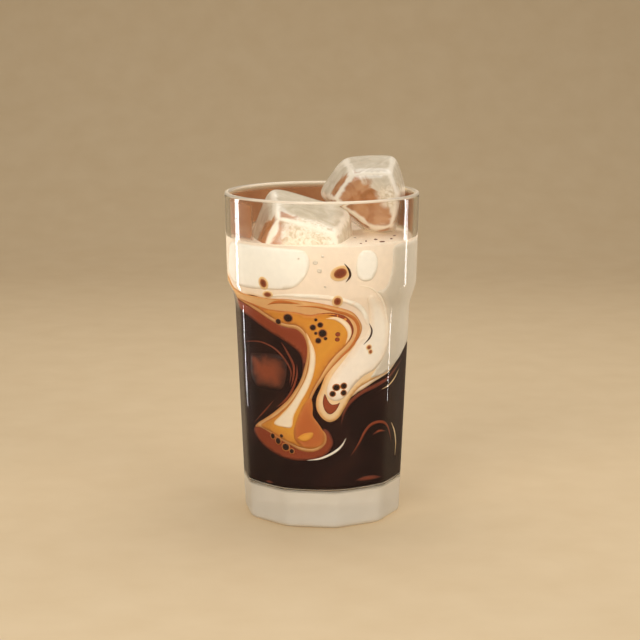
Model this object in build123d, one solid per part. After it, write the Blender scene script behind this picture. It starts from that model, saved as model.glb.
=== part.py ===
"""Iced cold brew coffee with cream, in its panelled pint glass.

The origin is the middle of the base, on the table. +Z is up and the front of the drink faces -Y.
The clear glass holds coffee, the cream poured over it, the amber swirl where the two mix at the
front, and two ice cubes that stand out of the cream. Liquids and cubes fill the glass without
overlapping, up to the level of the drink.
"""
from math import cos, radians, sin

from build123d import *
import os

# ---- driving dimensions, millimetres ----
GLASS_HEIGHT = 148.0
RIM_RADIUS = 44.0
BASE_RADIUS = 35.8
RIM_WALL = 2.2
SHOULDER_START = 96.0        # height where the lower cone ends
SHOULDER_END = 108.5         # height where the upper collar begins
SHOULDER_RADIUS = 40.0
COLLAR_RADIUS = 43.0
FLOOR_HEIGHT = 15.5          # inside floor, over the thick clear base
FLOOR_RADIUS = 33.4
FLOOR_CORNER = 5.0
PUNT_RADIUS = 28.5           # the hollow under the base
PUNT_DEPTH = 2.6
FOOT_ROUND = 2.2
LEVEL = 127.5                # surface of the drink

PANELS = 10
FIRST_PANEL = 28.0           # degrees from the front (-Y) towards +X
PANEL_DEPTH = 1.3            # how far a panel lies inside the round wall
PANEL_TOP = 94.0             # where its scooped arch begins
PANEL_SCOOP = 26.0           # radius of the scoop

SWIRL_BACK = -8.0            # the amber swirl lies in front of this plane
ICE_ROUND = 5.5


def at(radius, height):
    """A point of a profile in the XZ plane."""
    return (radius, 0, height)


def inner_wall():
    """Inside of the glass, from the middle of the floor up to the lip."""
    corner_start = at(FLOOR_RADIUS - FLOOR_CORNER, FLOOR_HEIGHT)
    corner_middle = at(FLOOR_RADIUS - FLOOR_CORNER * (1 - sin(radians(45))),
                       FLOOR_HEIGHT + FLOOR_CORNER * (1 - cos(radians(45))))
    corner_end = at(FLOOR_RADIUS, FLOOR_HEIGHT + FLOOR_CORNER)
    cone_end = at(36.9, 93)
    collar_start = at(40.7, 112)
    lip_inside = at(RIM_RADIUS - RIM_WALL, GLASS_HEIGHT - RIM_WALL / 2)
    return [
        Line(at(0, FLOOR_HEIGHT), corner_start),
        ThreePointArc(corner_start, corner_middle, corner_end),
        Line(corner_end, cone_end),
        Spline([cone_end, at(39.0, 102.5), collar_start], tangents=[(0.05, 0, 1), (0.04, 0, 1)]),
        Line(collar_start, lip_inside),
    ]


def punt_height(radius):
    """Height of the spherical hollow under the base at a distance from the axis."""
    sphere = (PUNT_RADIUS ** 2 + PUNT_DEPTH ** 2) / (2 * PUNT_DEPTH)
    return PUNT_DEPTH - sphere + (sphere ** 2 - radius ** 2) ** 0.5


def outer_wall():
    """Outside of the glass, from the lip down to the middle of the hollow under the base."""
    lip_inside = at(RIM_RADIUS - RIM_WALL, GLASS_HEIGHT - RIM_WALL / 2)
    lip_top = at(RIM_RADIUS - RIM_WALL / 2, GLASS_HEIGHT)
    lip_outside = at(RIM_RADIUS, GLASS_HEIGHT - RIM_WALL / 2)
    collar_start = at(COLLAR_RADIUS, SHOULDER_END)
    cone_end = at(SHOULDER_RADIUS, SHOULDER_START)
    foot_outside = at(BASE_RADIUS, FOOT_ROUND)
    foot_middle = at(BASE_RADIUS - FOOT_ROUND * (1 - cos(radians(45))), FOOT_ROUND * (1 - sin(radians(45))))
    foot_inside = at(BASE_RADIUS - FOOT_ROUND, 0)
    punt_edge = at(PUNT_RADIUS, 0)
    return [
        ThreePointArc(lip_inside, lip_top, lip_outside),
        Line(lip_outside, collar_start),
        Spline([collar_start, at(41.7, 102.8), cone_end], tangents=[(-0.06, 0, -1), (-0.05, 0, -1)]),
        Line(cone_end, foot_outside),
        ThreePointArc(foot_outside, foot_middle, foot_inside),
        Line(foot_inside, punt_edge),
        ThreePointArc(punt_edge, at(PUNT_RADIUS / 2, punt_height(PUNT_RADIUS / 2)), at(0, PUNT_DEPTH)),
    ]


def panel_cutter():
    """The glass that one panel takes away: outside a flat that leans with the cone and scoops out."""
    lean = (SHOULDER_RADIUS - BASE_RADIUS) / (SHOULDER_START - FOOT_ROUND)
    panel_foot = at(BASE_RADIUS - PANEL_DEPTH - lean * 10, FOOT_ROUND - 10)
    panel_top = at(BASE_RADIUS - PANEL_DEPTH + lean * (PANEL_TOP - FOOT_ROUND), PANEL_TOP)
    along = Vector(lean, 0, 1).normalized()
    outward = Vector(1, 0, -lean).normalized()

    def scoop_point(angle):
        turn = radians(angle)
        return Vector(*panel_top) + outward * PANEL_SCOOP * (1 - cos(turn)) + along * PANEL_SCOOP * sin(turn)

    scoop_end = scoop_point(60)
    far_top = at(RIM_RADIUS + 20, scoop_end.Z)
    far_foot = at(RIM_RADIUS + 20, panel_foot[2])
    edges = [
        Line(panel_foot, panel_top),
        ThreePointArc(panel_top, scoop_point(30), scoop_end),
        Line(scoop_end, far_top),
        Line(far_top, far_foot),
        Line(far_foot, panel_foot),
    ]
    return extrude(make_face(edges), amount=RIM_RADIUS / 2, both=True)


def glass():
    closing = Line(at(0, PUNT_DEPTH), at(0, FLOOR_HEIGHT))
    body = revolve(make_face(inner_wall() + outer_wall() + [closing]), Axis.Z)
    cutter = panel_cutter()
    for index in range(PANELS):
        turn = FIRST_PANEL - 90 + index * 360 / PANELS
        body -= Rot(0, 0, turn) * cutter
    return body


def drink():
    """Everything inside the glass up to the level, as one solid that the other pieces divide."""
    axis = Line(at(0, LEVEL), at(0, FLOOR_HEIGHT))
    far = RIM_RADIUS + 20
    lid = Line(at(RIM_RADIUS - RIM_WALL, GLASS_HEIGHT - RIM_WALL / 2), at(0, GLASS_HEIGHT - RIM_WALL / 2))
    full = revolve(make_face(inner_wall() + [lid, Line(lid @ 1, axis @ 1)]), Axis.Z)
    above = Pos(0, 0, LEVEL) * Box(2 * far, 2 * far, far, align=(Align.CENTER, Align.CENTER, Align.MIN))
    return full - above


def ice_cube(centre, faces):
    """A tapered tray cube: each face is an outward direction and its distance from the centre."""
    block = Pos(*centre) * Box(90, 90, 90)
    for direction, distance in faces:
        normal = Vector(*direction).normalized()
        face = Plane(origin=Vector(*centre) + normal * distance, z_dir=normal)
        block = split(block, bisect_by=face, keep=Keep.BOTTOM)
    return fillet(block.edges(), ICE_ROUND)


def ice_front():
    """The cube that leans to the right against the front wall, most of it under the cream."""
    return ice_cube((-9, -14, 124), [
        ((-0.05, -0.98, 0.18), 18.5),
        ((0.05, 0.99, -0.10), 17),
        ((-0.89, -0.22, 0.38), 19),
        ((0.24, -0.25, 0.94), 16.5),
        ((0.98, -0.20, 0.06), 20),
        ((-0.29, -0.15, -0.94), 16),
    ])


def ice_back():
    """The cube on top, which leans on the back wall and stands out over the rim."""
    return ice_cube((21.5, 11, 147), [
        ((-0.20, -0.97, -0.05), 13),
        ((0.20, 0.98, 0), 10),
        ((-0.82, -0.25, 0.52), 14.5),
        ((-0.10, -0.25, 0.95), 12.5),
        ((0.92, -0.20, 0.35), 15.5),
        ((0.97, -0.20, -0.20), 16.5),
        ((0.12, -0.20, -0.94), 20.5),
        ((-0.62, -0.20, -0.76), 15),
    ])


def slab(outline, front, back):
    """A closed outline of (x, z) points, carried from the front to the back along Y."""
    points = [(x, front, z) for x, z in outline]
    face = make_face(Spline(points, periodic=True))
    return extrude(face, amount=back - front, dir=(0, 1, 0))


def swirl_shape():
    """The amber stream: a hooked head, a narrow neck and a curling foot."""
    outline = [
        (-33, 101), (-26, 103), (-15, 102.5), (-4, 102), (6, 101.5), (13, 97), (16, 91),
        (13, 84), (7, 77), (2, 70), (-1, 61), (-1, 52), (3, 45), (4, 38), (-4, 32.5),
        (-15, 31), (-25, 35), (-30, 41), (-24, 47), (-16, 55), (-9, 67), (-6.5, 80),
        (-9, 88), (-16, 91), (-25, 95.5),
    ]
    return slab(outline, -60, SWIRL_BACK)


def cream_shape():
    """The cream: a sloping underside from wall to wall, with one tongue that sinks in the coffee."""
    far = RIM_RADIUS + 6
    top = GLASS_HEIGHT
    underside = Spline([
        (-far, -60, 108), (-33, -60, 101.5), (-22, -60, 97.5), (-10, -60, 94), (0, -60, 84),
        (0.5, -60, 68), (-2.4, -60, 58), (3.5, -60, 49.5), (9.5, -60, 55), (16, -60, 62),
        (26, -60, 68), (35, -60, 75), (far, -60, 88),
    ])
    edges = [
        underside,
        Line((far, -60, 88), (far, -60, top)),
        Line((far, -60, top), (-far, -60, top)),
        Line((-far, -60, top), (-far, -60, 108)),
    ]
    return extrude(make_face(edges), amount=120, dir=(0, 1, 0))


def main():
    front_cube = ice_front()
    back_cube = ice_back()
    liquid = drink() - front_cube - back_cube
    swirl = liquid & swirl_shape()
    rest = liquid - swirl
    cream = rest & cream_shape()
    coffee = rest - cream
    pieces = {
        "glass": glass(),
        "coffee": coffee,
        "cream": cream,
        "amber_swirl": swirl,
        "ice_front": front_cube,
        "ice_back": back_cube,
    }
    os.makedirs("parts", exist_ok=True)
    for name, piece in pieces.items():
        solids = piece.solids()
        print(name, "solids", len(solids), "volumes", [round(solid.volume) for solid in solids])
        export_step(piece, f"parts/{name}.step")


main()
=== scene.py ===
"""The looks of an iced cold brew coffee: glass, coffee, cream, amber swirl and ice.

Lengths are in millimetres until a mesh is made. A place on the glass wall is (angle, height): the
angle is in degrees from the front (-Y) towards +X, the height is over the table. "Proud" is how far
a liquid reaches into the wall, so that no air gap shows; a patch with more of it covers one with less.
"""

from math import cos, radians, sin, sqrt

import bmesh
import bpy
import numpy as np
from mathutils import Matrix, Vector, noise
from mathutils.bvhtree import BVHTree
from mathutils.geometry import delaunay_2d_cdt


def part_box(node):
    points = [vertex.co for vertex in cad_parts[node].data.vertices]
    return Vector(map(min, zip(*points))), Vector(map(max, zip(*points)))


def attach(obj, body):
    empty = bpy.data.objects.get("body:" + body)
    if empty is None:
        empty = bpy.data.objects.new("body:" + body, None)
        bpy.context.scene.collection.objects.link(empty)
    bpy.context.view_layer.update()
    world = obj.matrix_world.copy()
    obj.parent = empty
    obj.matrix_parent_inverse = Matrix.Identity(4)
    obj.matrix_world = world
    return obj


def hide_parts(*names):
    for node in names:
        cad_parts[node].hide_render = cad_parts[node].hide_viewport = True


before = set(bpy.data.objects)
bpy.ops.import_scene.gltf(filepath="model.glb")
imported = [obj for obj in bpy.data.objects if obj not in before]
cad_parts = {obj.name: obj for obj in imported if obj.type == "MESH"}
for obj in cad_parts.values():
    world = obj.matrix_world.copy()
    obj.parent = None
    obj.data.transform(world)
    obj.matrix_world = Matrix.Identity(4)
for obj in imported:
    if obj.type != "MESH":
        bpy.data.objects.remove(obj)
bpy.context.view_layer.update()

MM = 0.001

# The glass, outside.
GLASS_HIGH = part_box("glass")[1]
GLASS_HEIGHT = GLASS_HIGH.z / MM
RIM_RADIUS = GLASS_HIGH.x / MM
BASE_RADIUS = 35.8
SHOULDER_START = 96.0
SHOULDER_END = 108.5
SHOULDER_RADIUS = 40.0
COLLAR_RADIUS = 43.0
RIM_WALL = 2.2
FOOT_ROUND = 2.2
PUNT_RADIUS = 28.5         # the hollow under the base
PUNT_DEPTH = 2.6
PUNT_EDGE = 0.5
PANELS = 10
FIRST_PANEL = 28.0         # degrees from the front
PANEL_DEPTH = 1.3
PANEL_TOP = 94.0
PANEL_SCOOP = 26.0         # radius of the curve in which a panel runs out
PANEL_LEAN = (SHOULDER_RADIUS - BASE_RADIUS) / SHOULDER_START
ARRIS_BLEND = 0.7

# The glass, inside: over the rounded floor, heights and the radius at each.
FLOOR_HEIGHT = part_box("coffee")[0].z / MM
FLOOR_RADIUS = 33.4
FLOOR_CORNER = 5.0
WALL_HEIGHTS = [FLOOR_HEIGHT + FLOOR_CORNER, 93, 95.5, 98, 100.5, 103, 105.5, 108, 110, 112, 147]
WALL_RADII = [FLOOR_RADIUS, 36.9, 37.08, 37.45, 38.15, 39.1, 39.85, 40.3, 40.53, 40.7, 41.8]

# The drink.
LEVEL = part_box("cream")[1].z / MM
COFFEE_TOP = 118.0         # inside the cream
COFFEE_PROUD = 0.03
CREAM_PROUD = 0.06
CREAM_DIP = 0.35           # how far the middle of its surface lies under the level
WALL_CLIMB = 1.0           # how far it climbs at the wall, at the ice, and at most
ICE_CLIMB = 0.9
MOST_CLIMB = 1.3
RIPPLE = 0.25

AXIS_RADIUS = 0.4          # the innermost ring of a round solid
WALL_RADIUS = 36.0
ARC = radians(1) * WALL_RADIUS     # millimetres along the wall for each degree


# ---------- shapes and numbers ----------

def linear(hex_colour):
    """An sRGB hex colour as the linear RGBA that a shader takes."""
    values = [int(hex_colour[i:i + 2], 16) / 255 for i in (0, 2, 4)]
    return [v / 12.92 if v <= 0.04045 else ((v + 0.055) / 1.055) ** 2.4 for v in values] + [1.0]


def smoothstep(low, high, value):
    t = np.clip((value - low) / (high - low), 0, 1)
    return t * t * (3 - 2 * t)


def soft_min(first, second, blend):
    """The smaller of two values, rounded where they cross."""
    mix = np.clip(0.5 + 0.5 * (second - first) / blend, 0, 1)
    return second + (first - second) * mix - blend * mix * (1 - mix)


def spline(a, b, c, d, t):
    """The Catmull-Rom curve from b to c, at a share t of the way."""
    return 0.5 * (2 * b + (c - a) * t + (2 * a - 5 * b + 4 * c - d) * t ** 2
                  + (3 * b - a - 3 * c + d) * t ** 3)


def wall_point(angle, height, radius):
    turn = radians(angle)
    return (radius * sin(turn), -radius * cos(turn), height)


def round_faces(rows, columns):
    """Quads between closed rings of points, row by row, and a cap on the first and the last."""
    faces = []
    for row in range(rows - 1):
        for column in range(columns):
            after = (column + 1) % columns
            low, high = row * columns, (row + 1) * columns
            faces.append((low + column, low + after, high + after, high + column))
    last = (rows - 1) * columns
    return faces + [tuple(range(columns)), tuple(range(last, last + columns))]


def mesh_piece(name, points, faces, material, replaced=()):
    """A smooth mesh from points in millimetres, riding on the glass's body."""
    mesh = bpy.data.meshes.new(name)
    mesh.from_pydata([tuple(p) for p in np.asarray(points, float) * MM], [], [tuple(f) for f in faces])
    mesh.validate()
    work = bmesh.new()
    work.from_mesh(mesh)
    bmesh.ops.recalc_face_normals(work, faces=work.faces)
    work.to_mesh(mesh)
    work.free()
    mesh.polygons.foreach_set("use_smooth", [True] * len(mesh.polygons))
    mesh.materials.append(material)
    piece = bpy.data.objects.new(name, mesh)
    bpy.context.scene.collection.objects.link(piece)
    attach(piece, "root")
    if replaced:
        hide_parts(*replaced)
    return piece


def point_values(piece, name, values):
    """A number for each point, which the piece's material reads by name."""
    attribute = piece.data.attributes.new(name, "FLOAT", "POINT")
    attribute.data.foreach_set("value", np.array(values, np.float32))


# ---------- the glass ----------

def inner_radius(height):
    """Radius of the inside of the glass at a height."""
    low = height - FLOOR_HEIGHT
    if low < FLOOR_CORNER:
        drop = FLOOR_CORNER - max(low, 0)
        return FLOOR_RADIUS - FLOOR_CORNER + sqrt(max(FLOOR_CORNER ** 2 - drop ** 2, 0))
    return float(np.interp(height, WALL_HEIGHTS, WALL_RADII))


def outer_radius(height):
    """Radius of the round outside of the glass at a height, before the panels are cut."""
    cone = SHOULDER_RADIUS + PANEL_LEAN * (height - SHOULDER_START)
    flare = (RIM_RADIUS - COLLAR_RADIUS) / (GLASS_HEIGHT - SHOULDER_END)
    collar = COLLAR_RADIUS + flare * (height - SHOULDER_END)
    return cone + (collar - cone) * smoothstep(SHOULDER_START, SHOULDER_END, height)


def panel_distance(height):
    """Distance of a panel's face from the axis: a leaning flat, then a scoop that curves out."""
    flat = SHOULDER_RADIUS - PANEL_DEPTH + PANEL_LEAN * (height - SHOULDER_START)
    above = np.clip(height - PANEL_TOP, 0, PANEL_SCOOP)
    return flat + PANEL_SCOOP - np.sqrt(PANEL_SCOOP ** 2 - above ** 2)


def make_glass(material, columns=380):
    """The glass: panelled outside, round inside, rolled lip, thick base with a hollow under it."""
    angles = np.arange(columns) * 360 / columns
    turns = np.radians(angles)
    panel_width = 360 / PANELS
    from_panel = np.radians((angles - FIRST_PANEL + panel_width / 2) % panel_width - panel_width / 2)
    rows = []

    def ring(radii, height):
        across = radii * np.sin(turns)
        back = -radii * np.cos(turns)
        rows.append(np.stack([across, back, np.full(columns, float(height))], axis=1))

    def outside(height):
        return soft_min(outer_radius(height), panel_distance(height) / np.cos(from_panel), ARRIS_BLEND)

    # Up the outside, from the hollow under the base to the lip.
    for radius in (AXIS_RADIUS, 6, 14, 22, PUNT_RADIUS):
        ring(radius, PUNT_DEPTH * (1 - (radius / PUNT_RADIUS) ** 2))
    ring(PUNT_RADIUS + PUNT_EDGE, 0)
    foot = outside(FOOT_ROUND)
    for turn in (0, 22, 45, 67):
        ring(foot - FOOT_ROUND * (1 - sin(radians(turn))), FOOT_ROUND * (1 - cos(radians(turn))))
    body, shoulder, collar = (FOOT_ROUND, 90, 60), (90.5, 112, 60), (114, 146, 20)
    for height in np.concatenate([np.linspace(*part) for part in (body, shoulder, collar)]):
        ring(outside(height), height)
    lip = RIM_WALL / 2
    for turn in range(0, 181, 15):
        ring(RIM_RADIUS - lip + lip * cos(radians(turn)), GLASS_HEIGHT - lip + lip * sin(radians(turn)))
    # Down the inside, to the middle of the floor.
    collar, shoulder, body = (145.5, 112, 16), (111, 93, 30), (90, WALL_HEIGHTS[0], 24)
    for height in np.concatenate([np.linspace(*part) for part in (collar, shoulder, body)]):
        ring(inner_radius(height), height)
    for turn in range(10, 91, 10):
        drop = FLOOR_CORNER * sin(radians(turn))
        ring(FLOOR_RADIUS - FLOOR_CORNER * (1 - cos(radians(turn))), WALL_HEIGHTS[0] - drop)
    for radius in (24, 16, 8, AXIS_RADIUS):
        ring(radius, FLOOR_HEIGHT)
    mesh_piece("drinking_glass", np.concatenate(rows), round_faces(len(rows), columns), material,
               ["glass"])


# ---------- patches on the wall ----------

def smooth_outline(points, steps=7):
    """A closed curve through (angle, height) points, in millimetres along the wall."""
    knots = np.array(points, float) * (ARC, 1)
    before, after, beyond = np.roll(knots, 1, 0), np.roll(knots, -1, 0), np.roll(knots, -2, 0)
    curve = []
    for a, b, c, d in zip(before, knots, after, beyond):
        curve += [spline(a, b, c, d, t) for t in np.arange(steps) / steps]
    return np.array(curve)


def stroke(points, thickest, thinnest=0.15):
    """The outline of a brush stroke along (angle, height) points, thin at both ends."""
    line = np.array(points, float) * (ARC, 1)
    along = np.gradient(line, axis=0)
    along /= np.linalg.norm(along, axis=1)[:, None]
    shares = np.linspace(0, 1, len(points))
    widths = thinnest + (thickest - thinnest) * np.sin(np.pi * shares) ** 0.7
    side = np.stack([-along[:, 1], along[:, 0]], 1) * widths[:, None] / 2
    return np.concatenate([line + side, (line - side)[::-1]]) / (ARC, 1)


def oval(angle, height, half_width, half_height, turn=0):
    """The outline of an oval patch, its half sizes in millimetres."""
    around = np.radians(np.arange(0, 360, 30))
    x, y = half_width * np.cos(around), half_height * np.sin(around)
    lean = radians(turn)
    return [(angle + (a * cos(lean) - b * sin(lean)) / ARC, height + a * sin(lean) + b * cos(lean))
            for a, b in zip(x, y)]


def border_distance(points, border):
    """Distance of each point from a closed outline."""
    start, end = border, np.roll(border, -1, 0)
    span = end - start
    length = np.maximum((span ** 2).sum(1), 1e-9)
    best = np.full(len(points), np.inf)
    for s, v, n in zip(start, span, length):
        t = np.clip(((points - s) @ v) / n, 0, 1)
        best = np.minimum(best, np.hypot(*(points - s - t[:, None] * v).T))
    return best


def inside_outline(points, border):
    """True for each point inside a closed outline."""
    x, y = points.T
    within = np.zeros(len(points), bool)
    for (ax, ay), (bx, by) in zip(border, np.roll(border, -1, 0)):
        crosses = (ay > y) != (by > y)
        with np.errstate(divide="ignore", invalid="ignore"):
            within ^= crosses & (x < ax + (y - ay) * (bx - ax) / (by - ay))
    return within


def patch(outline, proud, depth=1.5, spacing=1.6):
    """A closed patch against the wall, over a grid of points: its points, faces and edge distances."""
    border = smooth_outline(outline)
    low, high = border.min(0), border.max(0)
    xs, ys = np.arange(low[0], high[0], spacing), np.arange(low[1], high[1], spacing)
    grid = np.stack(np.meshgrid(xs, ys), -1).reshape(-1, 2)
    grid = grid[inside_outline(grid, border)]
    grid = grid[border_distance(grid, border) > spacing * 0.4]     # nearer ones would make slivers
    knots = [Vector(p) for p in np.concatenate([border, grid])]
    inside_only, merge_distance = 1, 1e-5
    flat, _, triangles, _, _, _ = delaunay_2d_cdt(
        knots, [], [list(range(len(border)))], inside_only, merge_distance)
    flat = np.array([tuple(p) for p in flat])
    outer = [wall_point(x / ARC, z, inner_radius(z) + proud) for x, z in flat]
    inner = [wall_point(x / ARC, z, inner_radius(z) - depth) for x, z in flat]
    total = len(flat)
    faces = [tuple(t) for t in triangles] + [tuple(i + total for i in reversed(t)) for t in triangles]
    sides = {(a, b) for t in triangles for a, b in zip(t, t[1:] + t[:1])}
    for a, b in sorted(sides):
        if (b, a) not in sides:
            faces.append((b, a, a + total, b + total))
    edge = border_distance(flat, border)
    return outer + inner, faces, np.concatenate([edge, edge])


def inlay(name, patches, material, replaced=()):
    """One piece made of patches of the same liquid; "edge" holds the distance from the outline."""
    points, faces, edges = [], [], []
    for patch_points, patch_faces, patch_edge in patches:
        start = len(points)
        points += patch_points
        faces += [tuple(i + start for i in face) for face in patch_faces]
        edges.append(patch_edge)
    piece = mesh_piece(name, points, faces, material, replaced)
    point_values(piece, "edge", np.concatenate(edges))


# ---------- shader nodes ----------

def new_material(name):
    material = bpy.data.materials.new(name)
    material.use_nodes = True
    nodes = material.node_tree.nodes
    return material, nodes, material.node_tree.links, nodes["Principled BSDF"]


def noise_node(nodes, links, scale, detail=3.0, distortion=0.0):
    place = nodes.new("ShaderNodeTexCoord")
    texture = nodes.new("ShaderNodeTexNoise")
    texture.inputs["Scale"].default_value = scale
    texture.inputs["Detail"].default_value = detail
    texture.inputs["Distortion"].default_value = distortion
    links.new(place.outputs["Object"], texture.inputs["Vector"])
    return texture


def math_node(nodes, links, operation, first, second):
    node = nodes.new("ShaderNodeMath")
    node.operation = operation
    for socket, value in zip(node.inputs, (first, second)):
        if isinstance(value, (int, float)):
            socket.default_value = value
        else:
            links.new(value, socket)
    return node.outputs[0]


def swing(nodes, links, value, amount):
    """A noise value between 0 and 1 as a swing of up to this amount either way."""
    centred = math_node(nodes, links, "SUBTRACT", value, 0.5)
    return math_node(nodes, links, "MULTIPLY", centred, 2 * amount)


def colour_ramp(nodes, links, source, stops):
    ramp = nodes.new("ShaderNodeValToRGB")
    elements = ramp.color_ramp.elements
    while len(elements) < len(stops):
        elements.new(0.5)
    for element, (place, colour) in zip(elements, stops):
        element.position = place
        element.color = linear(colour)
    links.new(source, ramp.inputs["Fac"])
    return ramp.outputs["Color"]


def blend_colours(nodes, links, amount, first, second):
    mix = nodes.new("ShaderNodeMix")
    mix.data_type = "RGBA"
    links.new(amount, mix.inputs["Factor"])
    links.new(first, mix.inputs["A"])
    if isinstance(second, str):
        mix.inputs["B"].default_value = linear(second)
    else:
        links.new(second, mix.inputs["B"])
    return mix.outputs["Result"]


def mix_shaders(nodes, links, amount, first, second):
    mix = nodes.new("ShaderNodeMixShader")
    links.new(amount, mix.inputs["Fac"])
    links.new(first, mix.inputs[1])
    links.new(second, mix.inputs[2])
    return mix.outputs[0]


def smooth_mask(nodes, links, value, low, high, most=1.0):
    """A soft step from nothing at low to most at high."""
    mask = nodes.new("ShaderNodeMapRange")
    mask.interpolation_type = "SMOOTHSTEP"
    mask.inputs["From Min"].default_value = low
    mask.inputs["From Max"].default_value = high
    mask.inputs["To Max"].default_value = most
    links.new(value, mask.inputs["Value"])
    return mask.outputs["Result"]


def attribute_value(nodes, name):
    attribute = nodes.new("ShaderNodeAttribute")
    attribute.attribute_name = name
    return attribute.outputs["Fac"]


def spot_level(nodes, links, clouds, spot, reach):
    """Distance from a place in millimetres, as a share of reach, made uneven by the clouds."""
    place = nodes.new("ShaderNodeTexCoord")
    away = nodes.new("ShaderNodeVectorMath")
    away.operation = "DISTANCE"
    links.new(place.outputs["Object"], away.inputs[0])
    away.inputs[1].default_value = [c * MM for c in spot]
    near = math_node(nodes, links, "MULTIPLY", away.outputs["Value"], 1 / (reach * MM))
    return math_node(nodes, links, "ADD", near, math_node(nodes, links, "MULTIPLY", clouds, 0.9))


def let_light_through(nodes, links, surface, tint, share):
    """Shadow rays pass the surface as if it were a clear tinted sheet."""
    clear = nodes.new("ShaderNodeBsdfTransparent")
    clear.inputs["Color"].default_value = tint
    path = nodes.new("ShaderNodeLightPath")
    amount = math_node(nodes, links, "MULTIPLY", path.outputs["Is Shadow Ray"], share)
    mixed = mix_shaders(nodes, links, amount, surface, clear.outputs[0])
    links.new(mixed, nodes["Material Output"].inputs["Surface"])


# ---------- materials ----------

def liquid_material(name, stops, reach, wander):
    """A liquid whose colour changes with the distance from its outline, over reach millimetres."""
    material, nodes, links, shader = new_material(name)
    broad = noise_node(nodes, links, 90, 4.0, 0.8)
    drift = swing(nodes, links, broad.outputs["Fac"], wander)
    depth = math_node(nodes, links, "MULTIPLY", attribute_value(nodes, "edge"), 1 / reach)
    colour = colour_ramp(nodes, links, math_node(nodes, links, "ADD", depth, drift), stops)
    fine = noise_node(nodes, links, 360, 5.0)
    light = math_node(nodes, links, "ADD", swing(nodes, links, fine.outputs["Fac"], 0.06), 1.0)
    shade = nodes.new("ShaderNodeVectorMath")
    shade.operation = "SCALE"
    links.new(colour, shade.inputs[0])
    links.new(light, shade.inputs["Scale"])
    links.new(shade.outputs[0], shader.inputs["Base Color"])
    shader.inputs["Roughness"].default_value = 0.35
    shader.inputs["Specular IOR Level"].default_value = 0.12
    return material


def coffee_material():
    """Dark coffee, almost black, with slow red-brown clouds."""
    material, nodes, links, shader = new_material("dark_coffee")
    clouds = noise_node(nodes, links, 40, 2.0, 1.5)
    tones = [(0.35, "241311"), (0.55, "2b1714"), (0.72, "341d17")]
    links.new(colour_ramp(nodes, links, clouds.outputs["Fac"], tones), shader.inputs["Base Color"])
    shader.inputs["Roughness"].default_value = 0.4
    shader.inputs["Specular IOR Level"].default_value = 0.03
    return material


def film_material():
    """A see-through brown stain, thickest away from its border."""
    material, nodes, links, shader = new_material("coffee_film")
    streaks = noise_node(nodes, links, 70, 4.0, 0.5)
    tone = colour_ramp(nodes, links, streaks.outputs["Fac"], [(0.35, "a86d43"), (0.65, "b67d51")])
    links.new(tone, shader.inputs["Base Color"])
    shader.inputs["Roughness"].default_value = 0.5
    shader.inputs["Specular IOR Level"].default_value = 0.1
    cover = smooth_mask(nodes, links, attribute_value(nodes, "edge"), 0.0, 2.5, 0.72)
    links.new(cover, shader.inputs["Alpha"])
    return material


def glass_material():
    """Clear glass that lets the lamps through to the drink, with milky painted light in the base, at the lip
    and where it is seen edge on.
    """
    material, nodes, links, shader = new_material("clear_glass")
    clear_tint, refraction = (0.985, 0.985, 0.975, 1), 1.48
    wear = noise_node(nodes, links, 60, 5.0).outputs["Fac"]
    rough = math_node(nodes, links, "MULTIPLY", wear, 0.03)
    shader.inputs["Base Color"].default_value = clear_tint
    shader.inputs["IOR"].default_value = refraction
    shader.inputs["Specular IOR Level"].default_value = 0.15
    shader.inputs["Transmission Weight"].default_value = 1.0
    links.new(rough, shader.inputs["Roughness"])
    through = nodes.new("ShaderNodeBsdfRefraction")
    through.inputs["Color"].default_value = clear_tint
    through.inputs["IOR"].default_value = refraction
    links.new(rough, through.inputs["Roughness"])
    # On the outside, part of the surface only refracts, which calms its reflections.
    side = nodes.new("ShaderNodeNewGeometry")
    outside = math_node(nodes, links, "SUBTRACT", 1.0, side.outputs["Backfacing"])
    calm = math_node(nodes, links, "MULTIPLY", outside, 0.68)
    clear = mix_shaders(nodes, links, calm, shader.outputs[0], through.outputs[0])

    # Painted light: a milky cream colour lightens the thick base over its shade, and paints highlights on
    # the lip and where the glass is seen nearly edge on.
    place = nodes.new("ShaderNodeTexCoord")
    parts = nodes.new("ShaderNodeSeparateXYZ")
    links.new(place.outputs["Object"], parts.inputs[0])
    height = math_node(nodes, links, "DIVIDE", parts.outputs["Z"], MM)
    facing = nodes.new("ShaderNodeLayerWeight")
    facing.inputs["Blend"].default_value = 0.5
    base = smooth_mask(nodes, links, height, FLOOR_HEIGHT + 2.2, FLOOR_HEIGHT + 0.2, 0.7)
    lip = smooth_mask(nodes, links, height, GLASS_HEIGHT - 1.5, GLASS_HEIGHT - 0.8, 0.6)
    edge_on_highlight = smooth_mask(nodes, links, facing.outputs["Facing"], 0.86, 0.97, 0.45)
    cover = math_node(nodes, links, "MAXIMUM", math_node(nodes, links, "MAXIMUM", base, lip), edge_on_highlight)
    milky_painted_light = nodes.new("ShaderNodeBsdfPrincipled")
    milky_painted_light.inputs["Roughness"].default_value = 0.3
    milky_painted_light.inputs["Specular IOR Level"].default_value = 0.2
    cloudy = colour_ramp(nodes, links, wear, [(0.3, "efe5d2"), (0.7, "f5ecdb")])
    # The painted light turns creamier higher up.
    higher = smooth_mask(nodes, links, height, FLOOR_HEIGHT, SHOULDER_START)
    links.new(blend_colours(nodes, links, higher, cloudy, "fbead0"), milky_painted_light.inputs["Base Color"])
    surface = mix_shaders(nodes, links, cover, clear, milky_painted_light.outputs[0])
    let_light_through(nodes, links, surface, (0.96, 0.955, 0.94, 1), 1.0)
    return material


def crack_lines(nodes, links):
    """The borders of warped cells, as fine cracks."""
    cells = nodes.new("ShaderNodeTexVoronoi")
    cells.feature = "DISTANCE_TO_EDGE"
    cells.inputs["Scale"].default_value = 95
    bent = noise_node(nodes, links, 160, 2.0)
    links.new(bent.outputs["Color"], cells.inputs["Vector"])
    return smooth_mask(nodes, links, cells.outputs["Distance"], 0.03, 0.0, 0.4)


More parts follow.
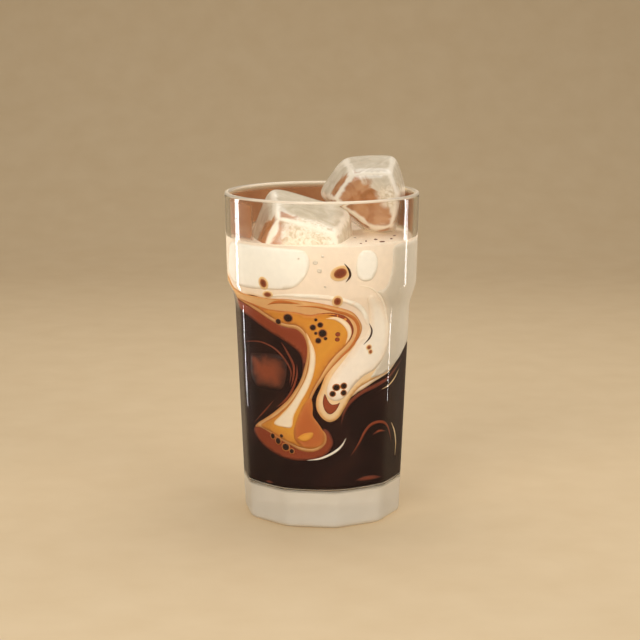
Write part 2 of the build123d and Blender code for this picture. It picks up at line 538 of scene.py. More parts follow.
def ice_material(name, brown_spots, frost_spots):
    """Wet ice: grey-beige flats, brown where coffee shows through, frosty spots, and cream-white edges that
    are painted highlight and partly a film of cream.
    """
    material, nodes, links, shader = new_material(name)
    clouds = noise_node(nodes, links, 120, 5.0, 1.2).outputs["Fac"]
    crystals = noise_node(nodes, links, 420, 6.0, 1.5).outputs["Fac"]
    plain = [(0.35, "d0c3ab"), (0.55, "ded1b9"), (0.72, "ede1cb")]
    brown = [(0.38, "a1622f"), (0.5, "b37343"), (0.66, "c58c5c")]
    frost = [(0.4, "d9c7a9"), (0.5, "f3e2c6"), (0.6, "fbf0dc")]
    colour = colour_ramp(nodes, links, clouds, plain)

    def add_spots(colour, spots, tone, outer, inner):
        for spot, reach in spots:
            level = spot_level(nodes, links, clouds, spot, reach)
            mask = smooth_mask(nodes, links, level, outer, inner, 0.95)
            colour = blend_colours(nodes, links, mask, colour, tone)
        return colour

    colour = add_spots(colour, brown_spots, colour_ramp(nodes, links, clouds, brown), 1.5, 1.3)
    colour = add_spots(colour, frost_spots, colour_ramp(nodes, links, crystals, frost), 1.6, 1.15)
    colour = blend_colours(nodes, links, crack_lines(nodes, links), colour, "f6e9d2")
    # Painted highlight: the ridges where flats meet turn cream-white, partly a film of cream on them.
    ridge = attribute_value(nodes, "ridge")
    ridge_highlight = math_node(nodes, links, "ADD", ridge, swing(nodes, links, clouds, 0.15))
    colour = blend_colours(nodes, links, smooth_mask(nodes, links, ridge_highlight, 0.84, 0.96), colour, "fdf1db")
    links.new(colour, shader.inputs["Base Color"])
    shader.inputs["IOR"].default_value = 1.31
    shader.inputs["Roughness"].default_value = 0.14
    shader.inputs["Transmission Weight"].default_value = 0.22
    shader.inputs["Coat Weight"].default_value = 0.35
    shader.inputs["Coat Roughness"].default_value = 0.05
    bump = nodes.new("ShaderNodeBump")
    bump.inputs["Strength"].default_value = 0.2
    bump.inputs["Distance"].default_value = 0.5 * MM
    links.new(noise_node(nodes, links, 70, 3.0).outputs["Fac"], bump.inputs["Height"])
    links.new(bump.outputs["Normal"], shader.inputs["Normal"])
    let_light_through(nodes, links, shader.outputs[0], (0.95, 0.92, 0.86, 1), 0.6)
    return material


LIQUIDS = {
    # name: (reach, wander, stops from the outline inwards)
    "cream": (6.0, 0.1, [(0, "edc594"), (0.12, "f3d5ad"), (0.3, "f5dec0"), (1, "f6e1c6")]),
    "cream_plain": (3.0, 0.3, [(0, "f5dec0"), (0.4, "f7e4ca"), (1, "f9ebd6")]),
    # Painted light: lighter milk blooms that stand for the lit part of the cream.
    "cream_painted_light": (1.5, 0.2, [(0, "f9e8cf"), (0.4, "faf0dc"), (1, "faf1df")]),
    # Painted shade: the cream's right side, where the light falls off; also the colour of the grey bubbles.
    "cream_shade": (2.5, 0.2, [(0, "e4d4bd"), (0.4, "dacbb4"), (1, "d3c5ae")]),
    # Painted highlight: the pale line colour of the highlight arcs.
    "highlight_line": (0.6, 0.1, [(0, "fbe9cf"), (1, "fdf3e2")]),
    "tongue": (2.0, 0.2, [(0, "e6a860"), (0.3, "ebb677"), (0.7, "efc68e"), (1, "f1cd9b")]),
    # Pale streaks: partly cream in the amber, partly painted highlight; also the painted gleams on the
    # coffee.
    "streak": (0.9, 0.2, [(0, "f3c98c"), (0.5, "f8deb4"), (1, "fae6c4")]),
    "brick": (2.2, 0.15, [(0, "5a2c20"), (0.3, "83402b"), (0.7, "944427"), (1, "904125")]),
    "amber_edge": (2.6, 0.2, [(0, "cf8546"), (0.35, "deaa6c"), (0.7, "e4b478"), (1, "e3b175")]),
    "amber": (4.0, 0.25, [(0, "c2713a"), (0.18, "d38a3a"), (0.6, "da9238"), (1, "de9a3a")]),
    "amber_line": (0.8, 0.2, [(0, "c97a3a"), (1, "bf6c34")]),
    # Painted highlight: the glint on the caramel foot.
    "amber_painted_highlight": (1.2, 0.2, [(0, "dd9438"), (1, "e8a544")]),
    "caramel": (2.5, 0.2, [(0, "cf8038"), (0.4, "c6733a"), (1, "c06a35")]),
    "rust": (0.8, 0.15, [(0, "7c3b25"), (0.5, "964527"), (1, "9a482a")]),
    # Painted glow: ice sunk in the coffee, dark at its outline and lighter towards the middle.
    "sunk_ice": (6.0, 0.8, [(0, "37211b"), (0.2, "4f2b20"), (0.55, "7d402a"), (1, "93492d")]),
    "drop_dark": (0.7, 0.1, [(0, "4a2a1c"), (0.4, "38251a"), (1, "2a1812")]),
    "drop_brown": (1.2, 0.1, [(0, "b9713f"), (0.4, "8c4a2c"), (1, "7b3a24")]),
    "drop_ring": (0.9, 0.1, [(0, "f2d3a2"), (0.5, "e6bd85"), (1, "dcae74")]),
    "ring": (0.4, 0.1, [(0, "c98240"), (1, "a85f2e")]),
    "specks": (1.0, 0.25, [(0, "6b3a24"), (1, "6b3a24")]),
}


def make_materials():
    """Every liquid, by name."""
    materials = {}
    for name, (reach, wander, stops) in LIQUIDS.items():
        materials[name] = liquid_material(name, stops, reach, wander)
    materials["coffee"] = coffee_material()
    materials["film"] = film_material()
    return materials


# ---------- coffee and cream ----------

def make_coffee(material, columns=200):
    """The dark coffee: a round solid up to the middle of the cream."""
    rows = [(radius, FLOOR_HEIGHT - COFFEE_PROUD) for radius in (AXIS_RADIUS, 10, 20, 27)]
    rounded = FLOOR_HEIGHT + FLOOR_CORNER * np.sin(np.radians([5, 15, 30, 45, 60, 75]))
    steps = np.linspace(WALL_HEIGHTS[0], COFFEE_TOP, 60)
    for height in sorted({*rounded, *steps, *WALL_HEIGHTS[1:-1]}):
        rows.append((inner_radius(height) + COFFEE_PROUD, height))
    rows += [(radius, COFFEE_TOP) for radius in (30, 10, AXIS_RADIUS)]
    points = [wall_point(c * 360 / columns, z, r) for r, z in rows for c in range(columns)]
    mesh_piece("dark_coffee", points, round_faces(len(rows), columns), material, ["coffee"])


CREAM_UNDERSIDE = [
    # angle, height of the cream's lower border on the wall
    (-100, 112), (-80, 109), (-69, 101.5), (-53, 105), (-39, 104), (-25, 101), (-12, 96), (0, 84),
    (7, 66), (14, 60), (20, 60), (26, 62), (40, 66), (55, 69.7), (71, 75), (88, 80), (105, 79),
    (122, 71), (138, 64), (152, 66), (163, 58), (174, 50), (184, 60), (192, 76), (205, 88), (222, 84),
    (238, 92), (250, 103),
]


def cream_underside(angle):
    """Height of the cream's lower border on the wall at an angle."""
    knots = np.array(CREAM_UNDERSIDE, float)
    first = CREAM_UNDERSIDE[0][0]
    knots = np.concatenate([knots[-3:] - (360, 0), knots, knots[:3] + (360, 0)])
    turn = (angle - first) % 360 + first
    index = int(np.clip(np.searchsorted(knots[:, 0], turn) - 1, 1, len(knots) - 3))
    a, b, c, d = knots[index - 1:index + 3, 1]
    t = (turn - knots[index, 0]) / (knots[index + 1, 0] - knots[index, 0])
    return spline(a, b, c, d, t)


def surface_rise(x, y, radius, wall, trees):
    """How far the cream's surface stands over its lowest level: at the wall, at the ice and in ripples."""
    wall_reach, ice_reach, ripple_scale = 1.1, 1.3, 0.06
    rise = WALL_CLIMB * np.exp(-(wall - radius) / wall_reach)
    for tree in trees:
        distance = tree.find_nearest(Vector((x, y, LEVEL)))[3]
        rise += ICE_CLIMB * np.exp(-distance / ice_reach)
    ripple = RIPPLE * noise.noise(Vector((x * ripple_scale, y * ripple_scale, 3)))
    return min(rise, MOST_CLIMB) + ripple


def make_cream(material, cubes, columns=360, levels=96):
    """The cream: a sloping underside, the wall, and a surface that climbs at the glass and the ice."""
    angles = np.arange(columns) * 360 / columns - 180
    lower = [cream_underside(angle) for angle in angles]
    points, edge = [], []
    inside, deep = 8, 30        # edge distances of the hidden underside and of the surface
    for share in (0.02, 0.5, 0.85):
        for angle, low in zip(angles, lower):
            points.append(wall_point(angle, low + inside, WALL_RADIUS * share))
            edge.append(inside)
    for share in np.linspace(0, 1, levels):
        for angle, low in zip(angles, lower):
            height = low + (LEVEL + WALL_CLIMB - low) * share
            points.append(wall_point(angle, height, inner_radius(height) + CREAM_PROUD))
            edge.append(height - low)
    wall = inner_radius(LEVEL)
    trees = [BVHTree.FromPolygons([v.co / MM for v in cube.data.vertices],
                                  [tuple(f.vertices) for f in cube.data.polygons]) for cube in cubes]
    for radius in [wall - d for d in (0.15, 0.5, 1.0, 1.7, 2.6)] + list(np.linspace(wall - 3.5, 0.5, 50)):
        for angle in angles:
            x, y, _ = wall_point(angle, 0, radius)
            points.append((x, y, LEVEL - CREAM_DIP + surface_rise(x, y, radius, wall, trees)))
            edge.append(deep)
    faces = round_faces(len(points) // columns, columns)
    piece = mesh_piece("cream_body", points, faces, material, ["cream"])
    point_values(piece, "edge", edge)


# ---------- ice ----------

# A cube is its centre and its flats: which way each faces, and its distance from the centre.
# The spots are places on it and how far each reaches.
FRONT_CUBE = ((-9, -14, 124), [
    ((-0.05, -0.98, 0.18), 18.5), ((0.05, 0.99, -0.10), 17), ((-0.89, -0.22, 0.38), 19.6),
    ((0.24, -0.25, 0.94), 16.8), ((0.98, -0.20, 0.06), 20.4), ((-0.29, -0.15, -0.94), 16),
])
FRONT_BROWN = [((-26, -27, 129), 11), ((-17, -31, 138), 9), ((8, -32, 136), 7)]
FRONT_FROST = [((-5, -34, 131), 13)]
BACK_CUBE = ((21.5, 11, 147), [
    ((-0.20, -0.97, -0.05), 13), ((0.20, 0.98, 0), 10), ((-0.82, -0.25, 0.52), 14.8),
    ((-0.10, -0.25, 0.95), 12.8), ((0.92, -0.20, 0.35), 15.9), ((0.97, -0.20, -0.20), 17),
    ((0.12, -0.20, -0.94), 20.5), ((-0.62, -0.20, -0.76), 15),
])
BACK_BROWN = [((12, -2, 143), 14), ((20, -2, 136), 13)]
BACK_FROST = [((31, 0, 146), 7)]
ICE_CLEARANCE = 0.5        # from the wall
DENTS = 0.012              # their depth, as a share of the distance from the centre


def make_ice(name, cube, material, node, roundness=8, cuts=44):
    """A melted tray cube: flats at the given distances, rounded where they meet, with shallow dents."""
    centre, flats = cube
    normals = np.array([f[0] for f in flats], float)
    normals /= np.linalg.norm(normals, axis=1)[:, None]
    distances = np.array([f[1] for f in flats], float)
    work = bmesh.new()
    bmesh.ops.create_cube(work, size=2)
    bmesh.ops.subdivide_edges(work, edges=work.edges, cuts=cuts, use_grid_fill=True)
    directions = np.array([v.co.normalized() for v in work.verts])
    faces = [tuple(v.index for v in f.verts) for f in work.faces]
    work.free()
    pull = np.maximum(directions @ normals.T / distances, 0)
    reach = (pull ** roundness).sum(1) ** (-1 / roundness)
    dents = np.array([noise.fractal(Vector(d) * 1.6 + Vector(centre), 0.9, 2.1, 3) for d in directions])
    reach *= 1 + DENTS * np.clip(dents, -1, 1)
    points = np.array(centre) + directions * reach[:, None]
    radii = np.hypot(points[:, 0], points[:, 1])
    walls = np.array([inner_radius(z) - ICE_CLEARANCE if z < GLASS_HEIGHT + 1 else np.inf
                      for z in points[:, 2]])
    points[:, :2] *= (np.minimum(radii, walls) / radii)[:, None]
    piece = mesh_piece(name, points, faces, material, [node])
    nearest = np.sort(pull, axis=1)
    point_values(piece, "ridge", nearest[:, -2] / nearest[:, -1])
    return piece


# ---------- what lies against the wall ----------

AMBER_EDGE = [
    (-88, 110), (-79, 109.8), (-71, 107), (-61, 105.5), (-52, 104.8), (-40, 104.7), (-29, 104.8), (-20, 105),
    (-11, 104.4), (1, 103.2), (13, 101), (21, 98.4), (26, 94.6), (28, 91), (26, 87), (21, 83.3), (14, 79.3),
    (7, 74), (1, 68.8), (-4, 64), (-7.5, 59), (-8.5, 54), (-5, 49.5), (0, 46), (3.5, 42.8), (2.5, 38.8),
    (-5, 35.5), (-15, 35.6), (-26, 38.6), (-38, 41.6), (-50, 43.6), (-57, 43.4), (-53, 45.8), (-45, 48.6),
    (-35, 52.7), (-27, 57.2), (-20, 62.8), (-15, 68.2), (-12, 74.2), (-10.3, 79.5), (-10.5, 84.5),
    (-13, 88.5), (-18, 91), (-26, 91.8), (-36, 94), (-50, 97.6), (-64, 101), (-80, 104.5),
]
AMBER_CORE = [
    (-66, 102.2), (-52, 100.8), (-40, 99.4), (-30, 99.3), (-19, 99), (-8, 97.8), (-2, 98.6), (6, 98.9),
    (13, 97.5), (18, 95.2), (21.5, 91.5), (20.5, 87.5), (16, 83.8), (10, 80), (4, 75), (-1, 69.5), (-6, 64),
    (-9.5, 58.5), (-10.5, 53), (-7, 48.5), (-2, 45), (0.8, 42), (-1, 38.8), (-8, 37), (-17, 37.4), (-28, 40),
    (-40, 42.8), (-50, 44.6), (-44, 47.4), (-34, 51), (-25, 56.2), (-18, 62), (-12.5, 68.5), (-10, 74.4),
    (-8.6, 80), (-9, 86), (-12, 90), (-17, 92.6), (-26, 93.3), (-36, 95.6), (-50, 99.2),
]
CARAMEL_FOOT = [
    (-8, 60), (-6.4, 56), (-6.4, 52), (-2.5, 48.5), (1, 45), (2.4, 42), (1, 39), (-6, 36.9), (-13, 37),
    (-19, 39.4), (-21, 43), (-20, 47), (-17, 52), (-13, 57),
]
# Painted highlight: a glint on the caramel foot.
CARAMEL_GLINT = [(-18, 41.2), (-14, 43.4), (-8, 44.3), (-6, 43.6), (-8, 41.4), (-13, 40)]
BRICK_BAND = [
    (-76, 102), (-64, 101.2), (-50, 98.5), (-36, 95), (-26, 92.6), (-17, 91.8), (-11, 89), (-8.5, 84),
    (-8.5, 78), (-11, 72), (-14, 68.3), (-13.6, 72), (-13.6, 76), (-15.5, 80), (-21, 83.2), (-30, 86.7),
    (-40, 89.2), (-50, 91.8), (-65, 95.4), (-78, 98.5),
]
BRICK_FOOT = [
    (-57, 43.6), (-48, 44.6), (-36, 42.6), (-24, 40), (-8, 37.5), (0, 40), (0, 45), (3, 46), (6.5, 43.6),
    (8.4, 39.6), (6, 36), (0, 32.8), (-11, 31.2), (-22, 31), (-35, 32.7), (-47, 35.2), (-56, 38.8),
    (-59.5, 41.4),
]
TONGUE = [
    (6, 75), (13, 80.5), (19, 84.6), (27, 83.5), (36, 80), (42, 76.6), (50, 74), (52, 69.8), (44, 68),
    (38, 66.9), (33, 65.8), (26, 63.6), (20, 59.4), (16, 55.3), (12, 51.3), (8.5, 49.6), (4.5, 49.3),
    (0, 51.2), (-3.6, 55), (-3.8, 59.6), (-0.8, 64.6), (2, 69.5),
]
CREAM_HEART = [
    (3.6, 64), (5, 60.4), (9.6, 58.8), (14.5, 59.8), (18.5, 62.2), (23, 65.4), (29, 68.6), (36, 70.6),
    (42, 72.6), (47.5, 77), (50.6, 83), (51, 90), (48, 97), (41, 103), (33, 106.4), (29.4, 105), (33, 98),
    (34, 92), (31, 87.6), (25, 86), (22.4, 83), (17.4, 79.2), (11.6, 74.4), (6.6, 69.4),
]
TONGUE_FOLD = [
    (2.2, 62), (0.8, 58), (2.6, 54.3), (6, 52.8), (9.6, 54.2), (12.4, 57.8), (10.5, 57.4), (7, 57.3),
    (4.4, 59.2),
]
# Lighter cream blooms and a band: swirls of milk, painted lighter as the lit part of the cream.
CREAM_LOBE = [
    (-77, 121), (-79.5, 115), (-75, 110.3), (-65, 108.3), (-51, 108), (-32, 108.6), (-20, 109.4),
    (-13, 112.2), (-8.4, 117.3), (-7.4, 121.7), (-9, 125), (-13, 126.8), (-30, 127.3), (-50, 127.4),
    (-66, 127.2), (-74, 125.4),
]
CREAM_LOBE_RIGHT = [
    (24.5, 125.9), (21.5, 123), (20.8, 119), (21.8, 114.8), (25.5, 112.7), (31, 112.9), (34.8, 116.5),
    (35.6, 121.5), (32.5, 125.2), (28, 126.2),
]
CREAM_FOLD = [
    (-36, 105.6), (-22, 107.2), (-8, 107.6), (4, 107), (16, 105.2), (26, 102), (32, 97), (34, 91),
    (31, 93), (26, 98.6), (16, 102.9), (4, 104.8), (-8, 105.6), (-22, 106),
]
# Painted shade on the right side of the cream, where the light falls off.
CREAM_SHADE = [
    (49, 126.6), (47.6, 118), (45.4, 112.4), (42, 108.6), (36.5, 107.5), (40, 105.4), (47.5, 98.6),
    (50.5, 90.3), (50, 82.4), (46, 77), (40, 71), (37, 68), (47, 68.9), (58, 71.3), (70, 74.2), (90, 81),
    (106, 84), (112, 96), (108, 112), (104, 126.6), (88, 127.3), (66, 127.3),
]
# Ice sunk in the coffee near the wall, with a painted glow.
SUNK_ICE_GLOW = [
    (-59, 76.5), (-52, 78), (-45, 78.4), (-33, 79), (-26.5, 78), (-25, 73.6), (-26, 68.3), (-29, 63.4),
    (-37, 62.8), (-46, 62.6), (-54, 63.2), (-59.5, 68),
]
STROKES = {
    # piece: (material, slot, proud, [(thickest millimetres, points), ...])
    "coffee_band": ("brick", "amber", 0.12, [
        (2.0, [(13.6, 48), (15, 52.2), (18, 56.2), (23, 59.3), (31, 62.1), (41, 63.9), (52, 66.4),
               (64, 69.6), (74, 72.4)])]),
    # Painted reflections: short brick-red bars low on the coffee.
    "painted_reflection_bars": ("brick", "ice", 0.12, [
        (2.1, [(26.5, 21.2), (33, 21.5), (42, 21.4), (49.5, 20.9)]),
        (1.3, [(-48, 18.8), (-44, 19), (-39.5, 19)])]),
    # Painted highlights: lighter rust arcs along the edges of the sunk ice.
    "sunk_ice_edge_highlights": ("rust", "ice", 0.14, [
        (0.8, [(-65, 82), (-49, 83.4), (-38, 82.5), (-31, 80.4), (-26, 76.8), (-22, 71.8), (-23, 67)]),
        (1.0, [(-28, 84.4), (-24, 80), (-20, 74.4), (-20.4, 69.2), (-22, 65)]),
        (1.0, [(-17.6, 74.6), (-18, 69.3), (-22, 62.6), (-28, 57.4), (-33, 55)]),
        (0.7, [(-37, 57), (-46, 51.6), (-57, 45.8)]),
        (1.4, [(22, 33.4), (28, 38.2), (33, 43.4), (39, 46.4), (48, 46.7), (56, 43), (62, 36.4)]),
        (1.1, [(40.6, 41.5), (46, 42.7), (51.6, 42)])]),
    "brick_hook": ("rust", "amber", 0.23, [
        (1.9, [(-3, 98), (5, 98.4), (13, 96.9), (18, 93.9), (20.5, 90), (18.5, 85.5)])]),
    "amber_streaks": ("amber_line", "amber", 0.27, [
        (1.5, [(-37, 101.4), (-31, 103), (-26, 103.5), (-20, 103.4), (-14, 102.8)]),
        (1.5, [(-16, 101.6), (-5, 101.7), (5, 100.4), (15, 98.3), (22, 95.4), (25.2, 91.4), (24, 87),
               (19.4, 82.6), (13, 78.8), (6, 73.4)])]),
    # A cream streak in the amber's head, partly painted highlight.
    "cream_hook": ("streak", "cream", 0.31, [
        (2.3, [(3, 96.2), (9, 96.2), (14.6, 94), (18, 91), (18.4, 88), (16, 84.6)])]),
    # Painted highlights: the arch of a glass panel at the right, and a crescent under the amber foot.
    "painted_highlight_arcs": ("highlight_line", "cream", 0.22, [
        (0.8, [(23, 111), (31, 109.2), (38, 105.8), (44, 100.9), (48, 95.1), (49.4, 89), (49.4, 82)]),
        (1.0, [(-10, 31.4), (-1, 32.3), (8, 34.8), (14, 37.9), (17, 41)])]),
    # Painted highlights: pale gleams on the coffee, at the sunk ice and under the cream's border.
    "coffee_gleams": ("streak", "cream", 0.16, [
        (0.7, [(48, 62), (56, 63.4), (63, 65.2), (69, 68)]),
        (1.0, [(61.5, 44.4), (68, 39.6), (71.6, 34), (71.4, 28.6)])]),
    "dark_arcs": ("drop_dark", "coffee", 0.31, [
        (0.9, [(34, 92.4), (36, 89.4), (34.4, 86.3), (30, 83.7)]),
        (0.9, [(13.6, 120.6), (16.3, 118), (17, 115.2), (14.8, 112.8)])]),
}
# A cream streak down the amber swirl to its foot, partly painted highlight.
CREAM_HIGHLIGHT_STREAK = [
    (-10.6, 89.4), (-7.6, 86), (-5, 82), (-4.2, 77), (-6, 70.3), (-10, 63.7), (-16, 57), (-20.4, 51.6),
    (-22.6, 46.2), (-29, 46), (-36.5, 47), (-30, 51.4), (-22.6, 56.9), (-16.6, 62.8), (-11, 69.6),
    (-8.6, 76.5), (-8.6, 83),
]
CREAM_DROPS = [
    # angle, height, half width, half height, lean
    (11, 116.6, 2.6, 2.1, 30), (-38, 111, 1.5, 1.9, 20), (-35.4, 106.3, 1.7, 1.0, 5),
    (9.6, 104.3, 1.4, 1.7, 0), (34, 82, 1.0, 0.9, 0), (35.4, 79.9, 0.8, 0.8, 0),
]
DARK_BUBBLES = [
    # angle, height, radius
    (-30, 94, 1.15), (-23, 96, 1.75), (-6, 92.1, 1.2), (-1, 93.3, 1.1), (-4, 95.6, 0.65), (-4, 89.5, 0.65),
    (0.6, 89.5, 1.6), (-2.4, 86.2, 1.15), (2.6, 87.2, 0.7), (-38, 41, 1.2), (-30, 41.8, 0.8),
    (-33, 39.2, 1.35), (-27, 36.9, 1.5), (-22.6, 35.2, 1.0), (10, 65, 1.3), (15, 65.5, 1.2),
    (7.6, 62.1, 1.1), (15, 62.4, 1.1),
]
BROWN_BUBBLES = [(10.6, 89, 1.0), (10.3, 86.7, 0.95)]
GREY_BUBBLES = [(-4, 121.4, 0.95), (-1.4, 117.8, 0.95), (0.4, 124.1, 0.55), (2, 110.7, 0.5), (-14, 123, 0.4)]

COARSE, FINE = 1.6, 0.8    # spacing of the grid in a patch
FRONT_PATCHES = [
    # piece, material, slot, proud, spacing, outlines
    ("brick_swirl", "brick", "amber", 0.12, COARSE, [BRICK_BAND, BRICK_FOOT]),
    ("sunk_ice_glow", "sunk_ice", "ice", 0.10, COARSE, [SUNK_ICE_GLOW]),
    ("cream_tongue", "tongue", "cream", 0.14, COARSE, [TONGUE]),
    ("cream_shade", "cream_shade", "cream", 0.15, COARSE, [CREAM_SHADE]),
    ("cream_lit_blooms", "cream_painted_light", "cream", 0.16, COARSE, [CREAM_LOBE, CREAM_LOBE_RIGHT, CREAM_FOLD]),
    ("cream_heart", "cream_plain", "cream", 0.18, COARSE, [CREAM_HEART]),
    ("amber_swirl_core", "amber", "amber", 0.22, COARSE, [AMBER_CORE]),
    ("tongue_fold", "rust", "amber", 0.22, FINE, [TONGUE_FOLD]),
    ("caramel_foot", "caramel", "amber", 0.25, COARSE, [CARAMEL_FOOT]),
    ("amber_glint", "amber_painted_highlight", "amber", 0.28, FINE, [CARAMEL_GLINT]),
    ("cream_highlight_streak", "streak", "cream", 0.28, FINE, [CREAM_HIGHLIGHT_STREAK]),
]


def stroke_patches(strokes, proud):
    depth, spacing = 0.5, 0.6
    return [patch(stroke(points, thickest), proud, depth, spacing) for thickest, points in strokes]


def make_swirl(materials):
    """The cream, amber and brick patches at the front, and the brush strokes on them."""
    inlay("amber_swirl_edge", [patch(AMBER_EDGE, 0.19)], materials["amber_edge"], ["amber_swirl"])
    for name, material, slot, proud, spacing, outlines in FRONT_PATCHES:
        patches = [patch(outline, proud, spacing=spacing) for outline in outlines]
        inlay(name, patches, materials[material])
    for name, (material, slot, proud, strokes) in STROKES.items():
        inlay(name, stroke_patches(strokes, proud), materials[material])


def make_bubbles(materials):
    """Bubbles and coffee drops against the glass, one piece for each kind; a paler ring lies round them."""
    def ovals(spots):
        return [(angle, height, size, size, 0) for angle, height, size in spots]

    ring_proud, spot_proud, depth, spacing = 0.30, 0.33, 0.5, 0.5
    kinds = [
        # piece, ovals, how much larger than the spot, proud, material, slot
        ("bubble_rings", ovals(DARK_BUBBLES), 1.3, ring_proud, "ring", "amber"),
        ("bubbles_dark", ovals(DARK_BUBBLES), 1.0, spot_proud, "drop_dark", "coffee"),
        ("bubbles_brown", ovals(BROWN_BUBBLES), 1.0, spot_proud, "rust", "coffee"),
        ("bubbles_grey", ovals(GREY_BUBBLES), 1.0, spot_proud, "cream_shade", "cream"),
        ("drop_rings", CREAM_DROPS, 1.55, ring_proud, "drop_ring", "cream"),
        ("coffee_drops", CREAM_DROPS, 1.0, spot_proud, "drop_brown", "coffee"),
    ]
    for name, spots, growth, proud, material, slot in kinds:
        outlines = [oval(angle, height, wide * growth, tall * growth, lean)
                    for angle, height, wide, tall, lean in spots]
        patches = [patch(outline, proud, depth, spacing) for outline in outlines]
        inlay(name, patches, materials[material])


SPECKS = [
    # x, y on the cream's surface, and half length in millimetres
    (14.5, -6.5, 1.1), (11.0, -13.0, 0.7), (19.5, -16.0, 0.8), (24.0, -10.5, 1.0), (26.5, -17.5, 1.2),
    (31.0, -8.5, 0.9), (8.5, -22.0, 0.6), (17.0, -24.5, 0.7), (33.0, 1.0, 0.8), (-30.0, -2.0, 0.9),
    (-25.0, 12.0, 0.7), (-8.0, 24.0, 1.0), (2.0, 30.0, 0.7), (-18.0, 28.0, 0.6),
]


def make_specks(material):
    """Small flecks of coffee that lie on the cream, each turned its own way."""
    points, faces = [], []
    work = bmesh.new()
    bmesh.ops.create_uvsphere(work, u_segments=16, v_segments=10, radius=1)
    ball = np.array([v.co[:] for v in work.verts])
    ball_faces = [tuple(v.index for v in f.verts) for f in work.faces]
    work.free()
    half_height, sink = 0.35, 0.25
    for index, (x, y, half) in enumerate(SPECKS):
        turn = radians(47 * index)
        flat = ball * (half, half * 0.5, half_height)
        turned = np.stack([flat[:, 0] * cos(turn) - flat[:, 1] * sin(turn),
                           flat[:, 0] * sin(turn) + flat[:, 1] * cos(turn), flat[:, 2]], axis=1)
        start = len(points)
        points += list(turned + (x, y, LEVEL - sink))
        faces += [tuple(i + start for i in face) for face in ball_faces]
    mesh_piece("coffee_specks", points, faces, material)


# Lighter cream blooms on the far side, painted light like those at the front.
BACK_LIT_BLOOMS = [
    [(128, 122), (126, 108), (136, 100), (154, 101), (166, 108), (166, 120), (150, 125.5)],
    [(200, 118), (204, 108), (222, 104), (242, 110), (246, 120), (224, 125)],
]
# Ice sunk in the coffee on the far side, with a painted glow.
BACK_GLOWS = [
    [(128, 44), (134, 52), (150, 54), (160, 46), (156, 34), (142, 29), (130, 34)],
    [(214, 62), (222, 69), (238, 69), (248, 60), (243, 47), (228, 43), (216, 50)],
]
# Painted highlights: lighter rust arcs along the edges of the sunk ice on the far side.
BACK_ICE_EDGE_HIGHLIGHTS = [
    (1.3, [(120, 30), (132, 24), (150, 23), (164, 30), (170, 41), (166, 52)]),
    (1.2, [(205, 44), (212, 36), (230, 32), (248, 38), (256, 50)]),
    (1.2, [(182, 52), (186, 44), (196, 38), (204, 30)]),
]


def make_back(materials):
    """The far side: amber and brick run along the cream's border, with lighter cream blooms of painted
    light, and sunk ice in the coffee with a painted glow and highlighted edges.
    """
    def along(first, last, drop, thickest, proud):
        # From the first to the last angle, this far under the cream's border.
        line = [(angle, cream_underside(angle) - drop) for angle in np.linspace(first, last, 15)]
        return patch(stroke(line, thickest), proud)

    brick = [along(84, 205, 1.6, 6.0, 0.12), along(207, 268, 1.8, 6.5, 0.12)]
    amber = [along(112, 196, 0.6, 3.4, 0.18), along(210, 262, 0.8, 3.6, 0.18)]
    blooms = [patch(outline, 0.16) for outline in BACK_LIT_BLOOMS]
    glows = [patch(outline, 0.10) for outline in BACK_GLOWS]
    inlay("back_brick", brick, materials["brick"])
    inlay("back_amber", amber, materials["amber_edge"])
    inlay("back_lit_blooms", blooms, materials["cream_painted_light"])
    inlay("back_glows", glows, materials["sunk_ice"])
    inlay("back_ice_edge_highlights", stroke_patches(BACK_ICE_EDGE_HIGHLIGHTS, 0.14), materials["rust"])


FILM_OUTLINE = [
    (78, 128.5), (120, 128.8), (180, 128.6), (240, 128.9), (290, 128.6), (305, 128.6), (314, 128.7),
    (316, 131), (316, 144), (314, 146.4), (290, 147), (240, 146.8), (180, 147), (120, 146.8),
    (78, 146.4), (75, 138),
]


def make_wall_film(material):
    """The thin brown film that the coffee left on the empty wall over the drink, away from the front."""
    gap, depth, spacing = 0.05, 0.25, 2.0
    inlay("coffee_film", [patch(FILM_OUTLINE, -gap, depth, spacing)], material)


# ---------- camera, light and stage ----------

def make_stage():
    """A plain pale floor that curves up into the backdrop."""
    material, nodes, links, shader = new_material("studio_paper")
    grain = noise_node(nodes, links, 40, 4.0)
    tone = colour_ramp(nodes, links, grain.outputs["Fac"], [(0.3, "dcc198"), (0.7, "e0c69e")])
    links.new(tone, shader.inputs["Base Color"])
    shader.inputs["Roughness"].default_value = 0.8
    half_width, front, bend_start, bend_radius, top = 2500, -1500, 700, 500, 1800
    profile = [(front, 0), (bend_start, 0)]
    for turn in range(10, 91, 10):
        along, up = bend_radius * sin(radians(turn)), bend_radius * (1 - cos(radians(turn)))
        profile.append((bend_start + along, up))
    profile.append((bend_start + bend_radius, top))
    points = [(x * MM, y * MM, z * MM) for x in (-half_width, half_width) for y, z in profile]
    count = len(profile)
    faces = [(i, i + 1, count + i + 1, count + i) for i in range(count - 1)]
    mesh = bpy.data.meshes.new("backdrop")
    mesh.from_pydata(points, [], faces)
    mesh.polygons.foreach_set("use_smooth", [True] * len(faces))
    mesh.materials.append(material)
    stage = bpy.data.objects.new("backdrop", mesh)
    bpy.context.scene.collection.objects.link(stage)


def area_light(name, place, target, size, power, spread=180):
    data = bpy.data.lights.new(name, "AREA")
    data.shape = "RECTANGLE"
    data.size, data.size_y = (s * MM for s in size)
    data.energy = power
    data.spread = radians(spread)
    lamp = bpy.data.objects.new(name, data)
    bpy.context.scene.collection.objects.link(lamp)
    lamp.location = Vector(place) * MM
    lamp.rotation_euler = (Vector(target) - Vector(place)).to_track_quat("-Z", "Y").to_euler()


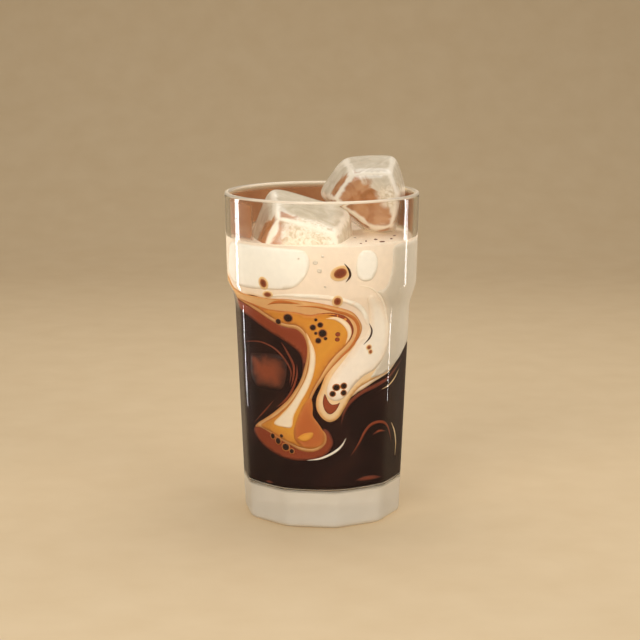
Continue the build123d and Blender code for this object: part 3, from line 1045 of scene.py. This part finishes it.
def make_lights():
    """Soft lamps from the front and above, and two narrow ones for the lines of light on the glass."""
    middle, collar = (0, 0, 80), (0, 0, 125)
    area_light("key_left", (-420, -760, 520), middle, (520, 520), 3.6)
    area_light("fill_right", (640, -640, 380), middle, (520, 520), 2.2)
    area_light("strip_left", (-190, 80, 80), collar, (16, 150), 0.016, spread=32)
    area_light("strip_right", (200, 80, 80), collar, (14, 150), 0.008, spread=32)
    area_light("top", (60, 200, 760), middle, (900, 700), 3.6)


def make_world():
    """An even pale light; the camera sees the backdrop's colour instead."""
    world = bpy.data.worlds.new("studio")
    world.use_nodes = True
    nodes, links = world.node_tree.nodes, world.node_tree.links
    glow = nodes["Background"]
    glow.inputs["Color"].default_value = (1.0, 0.98, 0.95, 1)
    glow.inputs["Strength"].default_value = 0.3
    seen = nodes.new("ShaderNodeBackground")
    seen.inputs["Color"].default_value = linear("b89d76")
    path = nodes.new("ShaderNodeLightPath")
    mixed = mix_shaders(nodes, links, path.outputs["Is Camera Ray"], glow.outputs[0], seen.outputs[0])
    links.new(mixed, nodes["World Output"].inputs["Surface"])
    bpy.context.scene.world = world


def make_camera():
    """A long lens a little over the rim, tilted down."""
    tilt = 10.27
    data = bpy.data.cameras.new("camera")
    data.sensor_width = 36
    data.lens = 105.2
    data.clip_end = 20
    camera = bpy.data.objects.new("camera", data)
    bpy.context.scene.collection.objects.link(camera)
    camera.location = Vector((-0.84, -841.9, 241.15)) * MM
    camera.rotation_euler = (radians(90 - tilt), 0, 0)
    bpy.context.scene.camera = camera


def main():
    materials = make_materials()
    make_camera()
    make_lights()
    make_world()
    make_stage()
    make_glass(glass_material())
    front_ice = ice_material("ice_front", FRONT_BROWN, FRONT_FROST)
    back_ice = ice_material("ice_back", BACK_BROWN, BACK_FROST)
    front = make_ice("ice_cube_front", FRONT_CUBE, front_ice, "ice_front")
    back = make_ice("ice_cube_back", BACK_CUBE, back_ice, "ice_back")
    make_coffee(materials["coffee"])
    make_cream(materials["cream"], [front, back])
    make_swirl(materials)
    make_bubbles(materials)
    make_specks(materials["specks"])
    make_back(materials)
    make_wall_film(materials["film"])
    bpy.context.scene.view_settings.view_transform = "Standard"


main()
